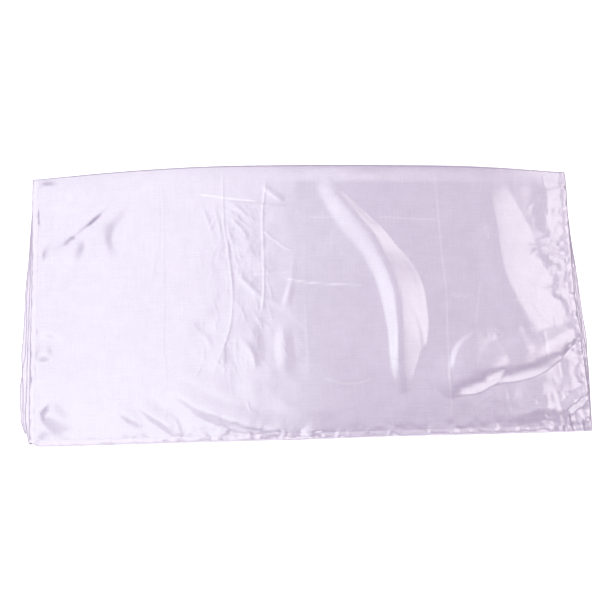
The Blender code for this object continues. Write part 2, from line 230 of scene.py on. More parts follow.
# Every soft fold of the top leaf, in millimetres. Its line runs along its crest. The heights and the widths
# of its flanks, on the left and the right hand of someone walking the line, are given at even steps along
# it. A flank is soft, or sharp at the crest, or drops with a sharp foot, or is crisp all the way down, or
# steepens from a soft crest. Each kind has a power for its crest and one for its foot.
FLANKS = {
    "soft": (2.0, 2.0),
    "sharp": (1.0, 2.0),
    "drop": (1.1, 1.0),
    "crisp": (1.1, 1.5),
    "steepening": (2.0, 1.0),
}
ARC_LEFTS = (5, 11, 16, 26, 39, 44, 44, 26, 7)
ARC_LINE = (
    (44, 204), (58, 183), (78, 156), (93, 138), (107, 119), (119, 101), (133, 70),
    (145, 40), (153, 10), (156, -20), (156, -60), (155, -100), (156, -135), (161, -165),
)
Fold = namedtuple("Fold", "name heights flat lefts left_flank rights right_flank line")
FOLDS = (
    Fold("long arc", (0, 2.6, 2.2, 2.3, 3.5, 3.9, 3.5, 1.3, 0), 2.5, ARC_LEFTS, "drop",
         (18, 28, 34, 29, 27, 24, 17, 16, 14), "soft", ARC_LINE),
    Fold("swell of the arc", (0, 0.8, 3.0, 3.8, 3.3, 3.2, 3.7, 2.4, 0), 2.5, ARC_LEFTS, "drop",
         (40, 80, 120, 130, 130, 120, 100, 80, 40), "sharp", ARC_LINE),
    Fold("arc wrinkle 1", (0, 0.35, 0.3, 0), 0, (7, 7), "soft", (5, 5), "sharp", (
        (166, 74), (184, 36), (194, 2), (200, -30))),
    Fold("arc wrinkle 2", (0, 0.35, 0.4, 0), 0, (6, 6), "soft", (6, 6), "sharp", (
        (178, -20), (190, -52), (194, -84), (186, -116))),
    Fold("far right slope", (0.3, 3.0, 4.0, 4.6, 4.6, 3.8, 0.6), 0, (28, 42, 58, 66, 66, 64, 50), "drop",
         (40, 46, 46), "soft", (
        (318, 186), (322, 150), (327, 104), (330, 62), (337, 24), (350, -12), (361, -34), (376, -60),
        (392, -84))),
    Fold("right teardrop", (0, 1.5, 1.6, 0), 0, (12, 15, 10), "drop", (26, 26), "soft", (
        (343, -42), (343, -60), (347, -79), (356, -93), (370, -108))),
    Fold("right hook", (0, 1.2, 1.5, 1.5, 0), 0, (70, 70), "soft", (6, 7, 6), "drop", (
        (286, -66), (266, -78), (252, -91), (243, -108), (238, -130))),
    Fold("low right ridge", (0, 2.2, 5.0, 6.3, 5.8, 3.2, 0), 0, (60, 64, 60), "soft",
         (10, 20, 31, 36, 35, 28, 20), "steepening", (
        (222, -173), (232, -162), (244, -151), (258, -141), (272, -132), (288, -122), (306, -112),
        (326, -102))),
    Fold("right edge ridge", (0.4, 4.2, 6.0, 6.2, 4.8, 2.6, 1.6), 0, (20, 46, 50, 46, 36, 28, 24), "soft",
         (12, 26, 34, 35, 27, 16, 11), "steepening", (
        (292, -150), (314, -132), (336, -121), (355, -113), (382, -103), (404, -93), (426, -82),
        (458, -66))),
    Fold("right dent 1", (0, 1.2, 1.4, 0), 0, (22, 22), "soft", (12, 14), "soft", (
        (412, 184), (416, 160), (411, 128), (402, 98))),
    Fold("right dent 2", (0, 1.4, 1.5, 0), 0, (22, 22), "soft", (13, 14), "soft", (
        (384, 72), (402, 60), (422, 48), (444, 36))),
    Fold("right dent 3", (0, 1.3, 1.4, 0), 0, (20, 20), "soft", (11, 12), "soft", (
        (398, 6), (414, -4), (430, -14), (444, -26))),
    Fold("low right curve", (0, 1.6, 1.8, 1.4, 0), 0, (9, 10), "sharp", (22, 24), "soft", (
        (318, -206), (340, -203), (362, -198), (387, -195), (418, -203))),
    Fold("corner fold", (0, 3.0, 3.0, 2.2), 0, (12, 16), "drop", (14, 14), "soft", (
        (404, -206), (420, -196), (436, -184), (458, -168))),
    Fold("corner gather 1", (0, 1.8, 2.2), 0, (9, 9), "sharp", (11, 12), "sharp", (
        (398, -196), (404, -214), (406, -238))),
    Fold("corner gather 2", (0, 1.8, 2.0), 0, (6, 6), "sharp", (8, 8), "sharp", (
        (418, -196), (417, -214), (422, -238))),
    Fold("corner gather 3", (0, 1.6, 1.8), 0, (7, 7), "sharp", (7, 7), "sharp", (
        (430, -200), (437, -216), (440, -238))),
    Fold("near left ridge", (0, 1.3, 1.7, 2.1, 2.2, 2.0, 1.8, 1.6, 0.9), 0, (26, 30, 30), "soft",
         (10, 13, 15, 16, 17, 17, 17, 16, 13), "soft", (
        (-226, -143), (-208, -153), (-190, -164), (-172, -177), (-150, -188), (-125, -198),
        (-100, -206), (-70, -213), (-36, -218), (6, -221))),
    Fold("near left crease 1", (0, 1.3, 1.5, 0), 0, (22, 22), "soft", (8, 10), "soft", (
        (-286, -164), (-262, -177), (-245, -190), (-226, -203), (-202, -226))),
    Fold("near left crease 2", (0, 1.1, 1.0, 0), 0, (20, 20), "soft", (8, 8), "soft", (
        (-304, -170), (-296, -180), (-280, -193), (-258, -206))),
    Fold("near left dimple", (0, 2.7, 2.8, 0), 0, (13, 14), "drop", (50, 50), "soft", (
        (-424, -192), (-416, -184), (-408, -175), (-397, -164))),
    Fold("left edge dent 1", (0, 2.1, 2.1, 0), 0, (24, 24), "soft", (17, 17), "soft", (
        (-438, -84), (-424, -80), (-408, -76))),
    Fold("left edge dent 2", (0, 1.6, 1.6, 0), 0, (22, 22), "soft", (13, 13), "soft", (
        (-434, -56), (-418, -44), (-400, -50), (-388, -62))),
    Fold("left edge dent 3", (0, 2.4, 2.4, 0), 0, (26, 26), "soft", (20, 20), "soft", (
        (-430, 92), (-410, 86), (-392, 80))),
    Fold("far corner dent", (0, 1.1, 1.2, 0), 0, (24, 24), "soft", (16, 16), "soft", (
        (-440, 204), (-424, 204), (-402, 198))),
    Fold("far hem dent", (0, 1.2, 1.4, 1.2, 0), 0, (12, 13), "soft", (24, 24), "soft", (
        (-432, 120), (-431, 140), (-430, 160), (-426, 182))),
    Fold("far left streak", (0, 1.2, 2.4, 2.7, 1.2, 0), 0, (10, 12, 10), "crisp", (22, 30, 22), "soft", (
        (-396, 92), (-380, 109), (-364, 123), (-348, 136), (-333, 150), (-314, 170))),
    Fold("far left branch", (0, 2.6, 3.2, 2.6, 0), 0, (18, 22, 22), "soft", (28, 32), "soft", (
        (-368, 114), (-374, 102), (-381, 88), (-389, 70))),
    Fold("far left arm", (0, 2.1, 3.0, 2.9, 0), 1, (15, 20, 19), "soft", (24, 28), "soft", (
        (-292, 178), (-308, 156), (-325, 135), (-332, 112), (-326, 92), (-312, 68))),
    Fold("first pressed ridge", (0.1, 0.15, 0.2, 0.25, 0.3, 0.3, 0.35, 0.2, 0.35, 0.4, 0.2, 0), 0,
         (4, 5, 6, 6), "sharp", (4, 5, 6, 9, 9), "sharp", (
        (-128, 236), (-128, 180), (-128, 140), (-125, 112), (-121, 85), (-118, 50), (-115, 15),
        (-116, -15), (-119, -40), (-124, -58), (-132, -82), (-144, -112), (-150, -140))),
    Fold("second pressed ridge", (0.1, 0.25, 0.3, 0.2, 0.3, 0.25, 0), 0, (4, 4), "sharp", (4, 4), "sharp", (
        (-55, 208), (-60, 170), (-63, 140), (-63, 80), (-63, 30), (-64, 0), (-70, -34))),
    Fold("third pressed ridge", (0, 0.1, 0.15, 0.7, 0.05, 0.1, 1.3, 1.1, 0.05, 0), 0,
         (5, 10, 20, 22), "soft", (4, 6, 9, 15, 14), "soft", (
        (-12, 82), (-15, 55), (-18, 28), (-23, 8), (-29, -12), (-33, -38), (-35, -65), (-35, -90),
        (-31, -120), (-26, -150))),
    Fold("fan wrinkle 1", (0, 0.55, 0.4, 0), 0, (7, 8), "soft", (6, 6), "sharp", (
        (-126, 172), (-108, 161), (-96, 150), (-80, 132))),
    Fold("fan wrinkle 2", (0, 0.6, 0.4, 0), 0, (7, 8), "soft", (6, 6), "sharp", (
        (-122, 150), (-106, 130), (-94, 114), (-82, 92))),
    Fold("fan wrinkle 3", (0, 0.5, 0.35, 0), 0, (6, 6), "soft", (5, 6), "sharp", (
        (-124, 158), (-110, 145), (-92, 128), (-70, 112))),
    Fold("fan wrinkle 4", (0, 0.45, 0.4, 0), 0, (6, 6), "soft", (5, 6), "sharp", (
        (-123, 136), (-118, 110), (-108, 88), (-98, 72))),
    Fold("fan wrinkle 5", (0, 0.45, 0.3, 0), 0, (5, 6), "soft", (4, 5), "sharp", (
        (-124, 164), (-104, 156), (-78, 152), (-66, 150))),
    Fold("fan wrinkle 6", (0, 0.4, 0.4, 0), 0, (6, 6), "soft", (5, 5), "sharp", (
        (-146, 164), (-138, 140), (-134, 116), (-130, 96))),
    Fold("fan wrinkle 7", (0, 0.4, 0.4, 0), 0, (7, 7), "soft", (6, 6), "sharp", (
        (-166, 168), (-158, 146), (-150, 122), (-142, 104))),
    Fold("lower wrinkle 1", (0, 0.6, 0.6, 0), 0, (10, 10), "soft", (9, 9), "sharp", (
        (-112, -62), (-96, -76), (-84, -96), (-80, -120))),
    Fold("lower wrinkle 2", (0, 0.5, 0.5, 0), 0, (9, 9), "soft", (8, 8), "sharp", (
        (-186, -36), (-172, -52), (-158, -66), (-150, -88))),
    Fold("slanting wrinkle", (0, 0.8, 0.9, 0.5, 0.3, 0), 0, (9, 10), "soft", (7, 8), "sharp", (
        (-112, 50), (-98, 32), (-84, 17), (-68, 2), (-48, -7), (-26, -20))),
    Fold("upper wedge", (0, 0.9, 0.9, 0), 0, (8, 8), "sharp", (7, 8), "soft", (
        (-62, 196), (-50, 186), (-40, 178), (-24, 168))),
    Fold("smile", (0, 0.35, 0.4, 0.35, 0), 0, (34, 34), "soft", (11, 11), "soft", (
        (24, -124), (45, -135), (72, -139), (98, -134), (122, -122))),
    Fold("front flare", (0, 1.6, 2.6, 1.8), 0, (12, 14, 14), "soft", (10, 15, 16), "drop", (
        (16, -212), (12, -219), (6, -227), (4, -238))),
    Fold("lower swell", (0, 0.4, 0.4, 0), 0, (12, 14), "sharp", (18, 20), "soft", (
        (-44, -158), (-30, -178), (10, -186), (60, -192))),
)
FRONT_GATHERS = (-40, 47, 65, 130, 196, 231, 268, 298, 330)
FOLDS += tuple(
    Fold(f"front gather {x}", (0, 0.5, 0.9, 0.7), 0, (7, 9), "soft", (8, 9), "sharp", (
        (x + 4, -217), (x + 2, -224), (x, -230), (x - 2, -239)))
    for x in FRONT_GATHERS
)

# The lines it was pressed in, and the scratches of small sharp creases. Each keeps its height as relief, and
# its tone paints light and shade into the colour along the line: a painted highlight, paler, in the dark
# field, and painted shade, a little darker, in the bright one.
# tone: above 0 a painted highlight along the line, below 0 painted shade; height: the crease's relief in
# millimetres.
Crease = namedtuple("Crease", "name tone height width line")
CREASES = (
    Crease("left line", -0.5, 0.25, 2.5, ((-235, 196), (-235, 110), (-242, 80), (-243, 60), (-248, 30),
                                          (-252, 0), (-257, -40), (-262, -90), (-266, -160))),
    Crease("left line, twin", -0.6, 0.25, 2.5, ((-227, 230), (-227, 100), (-227, 0), (-228, -55),
                                                (-229, -80), (-225, -104), (-223, -165))),
    Crease("left line, faint", -0.3, 0.15, 2.5, ((-205, 170), (-205, 110))),
    Crease("left hook", -0.4, 0.2, 2.5, ((-210, 105), (-190, 105), (-175, 95), (-165, 80))),
    Crease("left slant", -0.4, 0.2, 2.5, ((-300, 80), (-270, 90), (-248, 96))),
    Crease("upper crosswise", 0.8, 0.3, 2.6, ((-172, 184), (-150, 181), (-130, 177), (-110, 174),
                                              (-90, 171), (-66, 168))),
    Crease("upper crosswise, dark", -1.5, 0.3, 3.0, ((-128, 170), (-90, 167), (-60, 164), (-14, 158))),
    Crease("first line", 0.25, 0.2, 2.5, ((-128, 236), (-128, 140), (-125, 112), (-121, 85), (-118, 50),
                                         (-115, 15), (-119, -40), (-132, -82), (-146, -116))),
    Crease("second line", 0.6, 0.2, 2.5, ((-55, 208), (-60, 170), (-63, 140), (-63, 30), (-70, -34))),
    Crease("branch", 0.6, 0.25, 2.5, ((-62, 118), (-50, 105), (-40, 97), (-28, 87), (-14, 80))),
    Crease("middle crosswise", 0.8, 0.25, 2.5, ((-32, 34), (0, 27), (20, 24), (60, 20), (105, 17))),
    Crease("middle crosswise, faint", 0.5, 0.2, 2.5, ((-84, 43), (-18, 43))),
    Crease("middle line", 0.15, 0.15, 2.5, ((5, 130), (5, -150))),
    Crease("upper mark", 0.3, 0.2, 2.5, ((14, 139), (64, 136))),
    Crease("right crosswise", 0.4, 0.2, 2.5, ((124, 136), (180, 130), (234, 126))),
    Crease("right line", 0.35, 0.2, 2.5, ((228, 228), (230, 180), (232, 110), (233, 60), (236, 0),
                                         (234, -60), (233, -120), (232, -180), (233, -218))),
    Crease("right scratch 1", 0.3, 0.2, 2.5, ((280, -60), (285, -30), (290, 0), (296, 22))),
    Crease("right scratch 2", 0.3, 0.2, 2.5, ((309, 114), (312, 88))),
    Crease("right scratch 3", 0.4, 0.2, 2.5, ((308, -62), (322, -73), (318, -80))),
    Crease("right scratch 4", 0.3, 0.2, 2.5, ((240, 0), (262, -8), (284, -2))),
    Crease("right pleat", 0.7, 0.4, 3.0, ((391, -68), (393, -95), (394, -118))),
    Crease("arc crossing", -0.9, 0.2, 2.5, ((132, -108), (158, -110))),
    Crease("smile line", 0.35, 0.15, 4.0, ((28, -134), (40, -140), (60, -146), (85, -146), (112, -138))),
)
CREASE_END = 0.12
WAVE_SEED, CRUMPLE_SEED, PUCKER_SEED = 1, 3, 11


def fine_wrinkles(count, centre, spread, aim, height, seed):
    """Short faint wrinkles strewn round a place, most of them pointing at aim."""
    draw = np.random.default_rng(seed)
    for number in range(count):
        middle = np.array(centre) + np.array(spread) * draw.normal(0, 0.6, 2)
        towards = math.atan2(*(middle - aim)[::-1]) + draw.normal(0, 0.35)
        half = draw.uniform(7, 22) * np.array([math.cos(towards), math.sin(towards)])
        bend = draw.normal(0, 2.5) * np.array([-math.sin(towards), math.cos(towards)])
        yield Crease(
            f"fine wrinkle {number}", 0, height * draw.uniform(0.4, 1.2), 3.4,
            (tuple(middle - half), tuple(middle + bend), tuple(middle + half)),
        )


CREASES += (
    *fine_wrinkles(50, (-100, 80), (50, 85), (-125, 172), 0.22, 21),
    *fine_wrinkles(40, (-110, -70), (80, 70), (-120, 120), 0.22, 22),
    *fine_wrinkles(22, (-215, 60), (35, 90), (-125, 172), 0.24, 23),
    *fine_wrinkles(22, (300, 30), (40, 100), (295, -400), 0.12, 24),
    *fine_wrinkles(24, (405, 40), (30, 120), (330, 60), 0.36, 25),
    *fine_wrinkles(30, (370, -185), (70, 30), (360, -60), 0.36, 26),
    *fine_wrinkles(26, (-230, -200), (110, 22), (-250, -60), 0.30, 27),
)
FAN_CENTRE = (-125, 170)
FAN_STREAK = 0.085


def smooth_line(points, steps=6):
    """Points along a smooth curve through some given ones."""
    points = np.array(points, float)
    ends = np.vstack([2 * points[0] - points[1], points, 2 * points[-1] - points[-2]])
    line = []
    for a, b, c, d in zip(ends, ends[1:], ends[2:], ends[3:]):
        for t in np.arange(steps) / steps:
            line.append(
                0.5 * (2 * b + (c - a) * t + (2 * a - 5 * b + 4 * c - d) * t * t
                       + (3 * b - a - 3 * c + d) * t ** 3)
            )
    return np.array([*line, points[-1]])


def along_line(line, reach, x, y):
    """For the points within reach of a line: which they are, how far along it each lies, from 0 to 1, how
    far from it, and whether on its left."""
    near = (x > line[:, 0].min() - reach) & (x < line[:, 0].max() + reach)
    near &= (y > line[:, 1].min() - reach) & (y < line[:, 1].max() + reach)
    start, run = line[:-1], np.diff(line, axis=0)
    length = np.hypot(*run.T)
    before = np.concatenate([[0.0], np.cumsum(length)])
    away = np.stack([x[near], y[near]], -1)[:, None, :] - start
    share = np.clip((away * run).sum(-1) / length ** 2, 0, 1)
    offset = away - share[..., None] * run
    row = np.arange(len(away))
    nearest = np.argmin((offset ** 2).sum(-1), axis=1)
    offset, share = offset[row, nearest], share[row, nearest]
    along = (before[nearest] + share * length[nearest]) / before[-1]
    side = run[nearest, 0] * offset[:, 1] - run[nearest, 1] * offset[:, 0]
    return near, along, np.hypot(*offset.T), side >= 0


def steps_along(values, along):
    """Values given at even steps along a line, read between them along a smooth curve."""
    values = np.array(values, float)
    slopes = np.gradient(values)
    place = along * (len(values) - 1)
    step = np.clip(np.floor(place).astype(int), 0, len(values) - 2)
    t = place - step
    smooth = (
        (1 + 2 * t) * (1 - t) ** 2 * values[step]
        + t * (1 - t) ** 2 * slopes[step]
        + t * t * (3 - 2 * t) * values[step + 1]
        + t * t * (t - 1) * slopes[step + 1]
    )
    return np.maximum(smooth, 0)


def fold_height(fold, x, y):
    """The height of one fold over the points x, y, all in millimetres."""
    reach = fold.flat + max(*fold.lefts, *fold.rights)
    near, along, distance, on_left = along_line(smooth_line(fold.line), reach, x, y)
    distance = np.maximum(distance - fold.flat, 0)
    flank = np.zeros_like(distance)
    for on_side, widths, kind in ((on_left, fold.lefts, fold.left_flank),
                                  (~on_left, fold.rights, fold.right_flank)):
        crest, foot = FLANKS[kind]
        r = np.clip(distance / np.maximum(steps_along(widths, along), 1), 0, 1)
        flank = np.where(on_side, (1 - r ** crest) ** foot, flank)
    height = np.zeros_like(x)
    height[near] = steps_along(fold.heights, along) * flank
    return height


def crease_mark(crease, x, y):
    """How strongly a crease marks the points x, y: 1 on its line, dying out at its ends."""
    near, along, distance, _ = along_line(smooth_line(crease.line), crease.width, x, y)
    mark = np.zeros_like(x)
    ends = ease(along / CREASE_END) * ease((1 - along) / CREASE_END)
    mark[near] = ends * (1 - np.clip(distance / crease.width, 0, 1)) ** 1.5
    return mark


def wander(x, y, size, seed):
    """Smooth hills and hollows about size across, from -1 to 1, the same each run."""
    lattice = np.random.default_rng(seed).uniform(-1, 1, (64, 64))
    u, v = x / size + 31.3, y / size + 29.7
    i, j = np.floor(u).astype(int), np.floor(v).astype(int)
    s, t = ease(u - i), ease(v - j)
    i, j = i % 63, j % 63
    low = mix(lattice[i, j], lattice[i + 1, j], s)
    high = mix(lattice[i, j + 1], lattice[i + 1, j + 1], s)
    return mix(low, high, t)


def crumple(x, y):
    """The small dents, in millimetres: most at the right hem, some at the other edges, and the rays of the
    fan that runs from the crosswise crease."""
    right = ease((x - 366) / 55)
    left = ease((-392 - x) / 40)
    front = ease((-186 - y) / 34)
    fan = ease(1.3 - np.hypot((x + 110) / 75, (y - 95) / 110))
    middle = ease(1.4 - np.hypot((x + 115) / 95, (y + 40) / 170))
    low_right = ease((x - 215) / 60) * ease((-140 - y) / 40)
    amount = 0.60 * middle + 0.40 * left + np.maximum(0.50 * right, 0.45 * low_right) + 0.08
    broad = wander(x, y, 26, CRUMPLE_SEED + 2) * amount
    edges = np.maximum(0.28 * right + 0.30 * left, 0.22 * front)
    dents = wander(x, y, 13, CRUMPLE_SEED) * (edges + 0.12 * fan + 0.12 * middle + 0.10 * low_right)
    fine = wander(x, y, 6, CRUMPLE_SEED + 1) * (0.06 * right + 0.08 * left + 0.10 * front + 0.10 * fan)
    away = np.hypot(x - FAN_CENTRE[0], y - FAN_CENTRE[1])
    heading = np.arctan2(y - FAN_CENTRE[1], x - FAN_CENTRE[0])
    spread = ease((heading + 1.65) / 0.2) * ease((-0.15 - heading) / 0.3)
    spread = spread + 0.5 * ease((heading + 2.5) / 0.3) * ease((-1.65 - heading) / 0.2)
    spread = spread * ease((away - 8) / 20) * ease((125 - away) / 60)
    rays = wander(heading / FAN_STREAK, away / 38, 1, CRUMPLE_SEED + 3)
    rays = rays * np.minimum(0.0021 * away, 0.16) * spread
    return broad + dents + fine + rays


def pucker(x, y):
    """The waves that the hems' stitching draws the edges into, in millimetres, dying out into the leaf."""
    from_left = x - through(SIDES, "y", "top_left", y * MM) / MM
    from_right = through(SIDES, "y", "top_right", y * MM) / MM - x
    from_front = y - top_edge_y(x * MM) / MM
    height = np.zeros_like(x)
    for distance, place, most, reach, seed in (
        (from_left, y, 0.7, 9, 0), (from_right, y, 0.9, 12, 1), (from_front, x, 0.6, 7, 2),
    ):
        wave = wander(place, 1.1 * distance + 0.3 * place, 10, PUCKER_SEED + seed)
        wave = wave + 0.3 * wander(place, 1.2 * distance, 5, PUCKER_SEED + 4 + seed)
        height = height + most * wave * np.exp(-np.maximum(distance - 7, 0) / reach)
    return height


def relief(x, y):
    """How far the top leaf stands off its even lie in its folds, in metres."""
    x, y = x / MM, y / MM
    height = sum(fold_height(fold, x, y) for fold in FOLDS)
    height = height + sum(crease.height * crease_mark(crease, x, y) for crease in CREASES)
    height = height + 0.14 * wander(x, y, 46, WAVE_SEED) + 0.05 * wander(x, y, 17, WAVE_SEED + 1)
    return (height + crumple(x, y) + pucker(x, y)) * MM


def pile_crown(x, y):
    """The pile under the top leaf, which swells most a little short of the double fold."""
    short_of_fold = fold_centre(x) - y
    past = np.clip(1 - short_of_fold / SHOULDER_REACH, 0, 1)
    swell = (1 - np.clip((short_of_fold - SHOULDER_REACH) / SWELL_REACH, 0, 1) ** SWELL_ROUNDNESS) ** 2
    at_fold = 2 * fold_radius(x) - TOP_OVER_PILE
    behind = y - through(SECTIONS, "x", "hem_y", x)
    lip = LIP_DROOP * ease((x - LIP_FROM) / LIP_FADE)
    droop = FRONT_DROOP * ease(1 - behind / FRONT_DROOP_REACH) + lip * ease(1 - behind / LIP_REACH)
    crown = at_fold + SHOULDER_HEIGHT * (1 - past ** SHOULDER_ROUNDNESS)
    return mix(3 * LEAF_LOFT, crown, swell) - droop


def top_leaf_at(x, station):
    """A point on the top leaf's face and the way out of it. Stations 0 to 1 run from the short end to the
    fold, and 1 to 2 round the fold to the surface below."""
    radius, centre = fold_radius(x), fold_centre(x)
    flat = np.clip(station, 0, 1)
    y = mix(top_edge_y(x), centre, flat)
    angle = math.pi * (0.5 - np.clip(station - 1, 0, 1))
    bent = station > 1
    back = np.where(bent, np.cos(angle), 0)
    up = np.where(bent, np.sin(angle), 1)
    z = pile_crown(x, y) + TOP_OVER_PILE + relief(x, y) * ease((1 - flat) / RELIEF_FADE)
    y = np.where(bent, centre + radius * back, y)
    z = np.where(bent, radius + radius * up, z)
    return np.stack([x, y, z], -1), np.stack([np.zeros_like(y), back, up], -1)


def graded(start, end, coarse, fine, reach, lines):
    """Places from start to end, a fine step apart near the lines and a coarse step elsewhere."""
    at = np.linspace(start, end, 4000)
    gap = np.abs(at[:, None] - np.array(lines)[None, :]).min(1)
    step = mix(fine, coarse, ease((gap - reach) / reach))
    count = np.concatenate([[0], np.cumsum(np.diff(at) / step[:-1])])
    return np.interp(np.linspace(0, count[-1], round(count[-1]) + 1), count, at)


def lay_grid(name, across, along, place, cloth_across, cloth_along):
    """A flat grid of threads, moved to where place puts each crossing. Its UV map is in metres of cloth."""
    bpy.ops.object.select_all(action="DESELECT")
    columns, rows = len(across) - 1, len(along) - 1
    bpy.ops.mesh.primitive_grid_add(x_subdivisions=columns, y_subdivisions=rows, size=2)
    cloth = bpy.context.object
    cloth.name = cloth.data.name = name
    flat = np.empty(len(cloth.data.vertices) * 3)
    cloth.data.vertices.foreach_get("co", flat)
    i = np.rint((flat[0::3] + 1) / 2 * columns).astype(int)
    j = np.rint((flat[1::3] + 1) / 2 * rows).astype(int)
    cloth.data.vertices.foreach_set("co", place(across[i], along[j]).ravel())
    corner = np.empty(len(cloth.data.loops), int)
    cloth.data.loops.foreach_get("vertex_index", corner)
    threads = np.stack([cloth_across[i][corner], cloth_along[j][corner]], -1)
    cloth.data.uv_layers.active.data.foreach_set("uv", threads.ravel())
    cloth.data.update()
    return cloth


EDGE_IN_HEM = 2 * MM
CLOTH_WIDTH = 0.90
LEAF_LENGTH = 0.475
TURN_LENGTH = 0.014
TURN_STEPS = 12
LEAF_FRONT, LEAF_BACK = -0.2330, 0.2290
LEAF_RUN = 0.4620
FIRST_ROW = 0.004
PRESSED_COLUMNS = (-0.440, -0.231, *np.arange(-0.165, -0.020, 0.012), 0.150, 0.232, 0.425, 0.442)
PRESSED_ROWS = (-0.226, *np.arange(-0.172, -0.098, 0.012), *np.arange(0.060, 0.190, 0.012))


def top_leaf_place(share, station):
    """Where the thread crossing at a share across the leaf and a station along it lies."""
    guess = mix(SIDES[0].top_left, SIDES[0].top_right, share)
    y = mix(top_edge_y(guess), fold_centre(guess), np.clip(station, 0, 1))
    left = through(SIDES, "y", "top_left", y) + EDGE_IN_HEM
    right = through(SIDES, "y", "top_right", y) - EDGE_IN_HEM
    return top_leaf_at(mix(left, right, share), station)[0]


def top_leaf_metres(station):
    """Metres of cloth along the top leaf."""
    return np.interp(station, (0, 1, 2), (0, LEAF_LENGTH - TURN_LENGTH, LEAF_LENGTH))


column_x = graded(SIDES[0].top_left, SIDES[0].top_right, 3.0 * MM, 1.7 * MM, 8 * MM, PRESSED_COLUMNS)
columns = (column_x - column_x[0]) / (column_x[-1] - column_x[0])
row_y = graded(LEAF_FRONT, LEAF_BACK, 3.2 * MM, 1.8 * MM, 7 * MM, PRESSED_ROWS)
flat_rows = (row_y - LEAF_FRONT) / LEAF_RUN * (1 - FIRST_ROW) + FIRST_ROW
rows = np.concatenate([flat_rows, 1 + np.arange(1, TURN_STEPS + 1) / TURN_STEPS])
leaf = lay_grid(
    "satin_leaf", columns, rows, top_leaf_place, columns * CLOTH_WIDTH, top_leaf_metres(rows)
)

# The creases' tones, kept on the leaf as its pressed attribute, are painted highlight where above 0 and
# painted shade where below 0.
tone = leaf.data.attributes.new("pressed", "FLOAT", "POINT")
seen = np.empty(len(leaf.data.vertices) * 3)
leaf.data.vertices.foreach_get("co", seen)
seen_x, seen_y = seen[0::3] / MM, seen[1::3] / MM
pressed = sum(crease.tone * crease_mark(crease, seen_x, seen_y) for crease in CREASES)
tone.data.foreach_set("value", pressed)

# The leaf is given its thickness, and its hidden side is then thinned to keep the mesh within bounds.
SHELL_TRIANGLES = 190000
thickness = leaf.modifiers.new("thickness", "SOLIDIFY")
thickness.thickness = CLOTH
thickness.offset = -1
leaf.vertex_groups.new(name="hidden side")
thickness.shell_vertex_group = "hidden side"
bpy.ops.object.modifier_apply(modifier="thickness")
thinned = leaf.modifiers.new("thinned hidden side", "DECIMATE")
thinned.vertex_group = "hidden side"
thinned.ratio = SHELL_TRIANGLES / (2 * len(leaf.data.polygons))
bpy.ops.object.modifier_apply(modifier="thinned hidden side")
bpy.ops.object.shade_smooth()


class Value:
    """A shader socket that takes Python's operators, so that its maths reads as a formula."""

    def __init__(self, finish, socket):
        self.finish, self.socket = finish, socket

    def maths(self, operation, first, second):
        return self.finish.node("ShaderNodeMath", {0: first, 1: second}, operation=operation)

    def __add__(self, other):
        return self.maths("ADD", self, other)

    def __sub__(self, other):
        return self.maths("SUBTRACT", self, other)

    def __rsub__(self, other):
        return self.maths("SUBTRACT", other, self)

    def __mul__(self, other):
        return self.maths("MULTIPLY", self, other)

    __radd__ = __add__
    __rmul__ = __mul__


class Finish:
    """One material of the stole, built node by node round its Principled shader."""

    def __init__(self, name, **fixed):
        self.material = bpy.data.materials.new(name)
        self.material.use_nodes = True
        self.tree = self.material.node_tree
        self.shader = self.tree.nodes["Principled BSDF"]
        for socket, value in fixed.items():
            self.shader.inputs[socket.replace("_", " ")].default_value = value

    def join(self, value, socket):
        """Links a value to a socket, or sets it there."""
        if isinstance(value, Value):
            self.tree.links.new(value.socket, socket)
        else:
            socket.default_value = value

    def node(self, kind, inputs, output=0, stops=None, **settings):
        """Any node: its settings, then its sockets, and the output that is wanted."""
        made = self.tree.nodes.new(kind)
        for setting, value in settings.items():
            setattr(made, setting, value)
        for stop, (at, colour) in enumerate(stops or ()):
            if stop > 1:
                made.color_ramp.elements.new(at)
            made.color_ramp.elements[stop].position = at
            made.color_ramp.elements[stop].color = colour
        for socket, value in inputs.items():
            self.join(value, made.inputs[socket])
        return Value(self, made.outputs[output])

    def blend(self, share, first, second):
        """A colour a share of the way from the first to the second."""
        inputs = {"Factor": share, "A": first, "B": second}
        return self.node("ShaderNodeMix", inputs, output=2, data_type="RGBA")

    def give(self, socket, value):
        """Feeds one of the Principled shader's sockets."""
        self.join(value, self.shader.inputs[socket])


def threads(finish, cloth, length, pitch, turned=False):
    """Streaks of thread along the cloth, or across it when turned, about pitch apart and length long."""
    scale = (1 / pitch, 1 / length, 1) if turned else (1 / length, 1 / pitch, 1)
    stretched = finish.node("ShaderNodeMapping", {"Vector": cloth, "Scale": scale})
    return finish.node("ShaderNodeTexNoise", {"Vector": stretched, "Scale": 1.0, "Detail": 2.0})


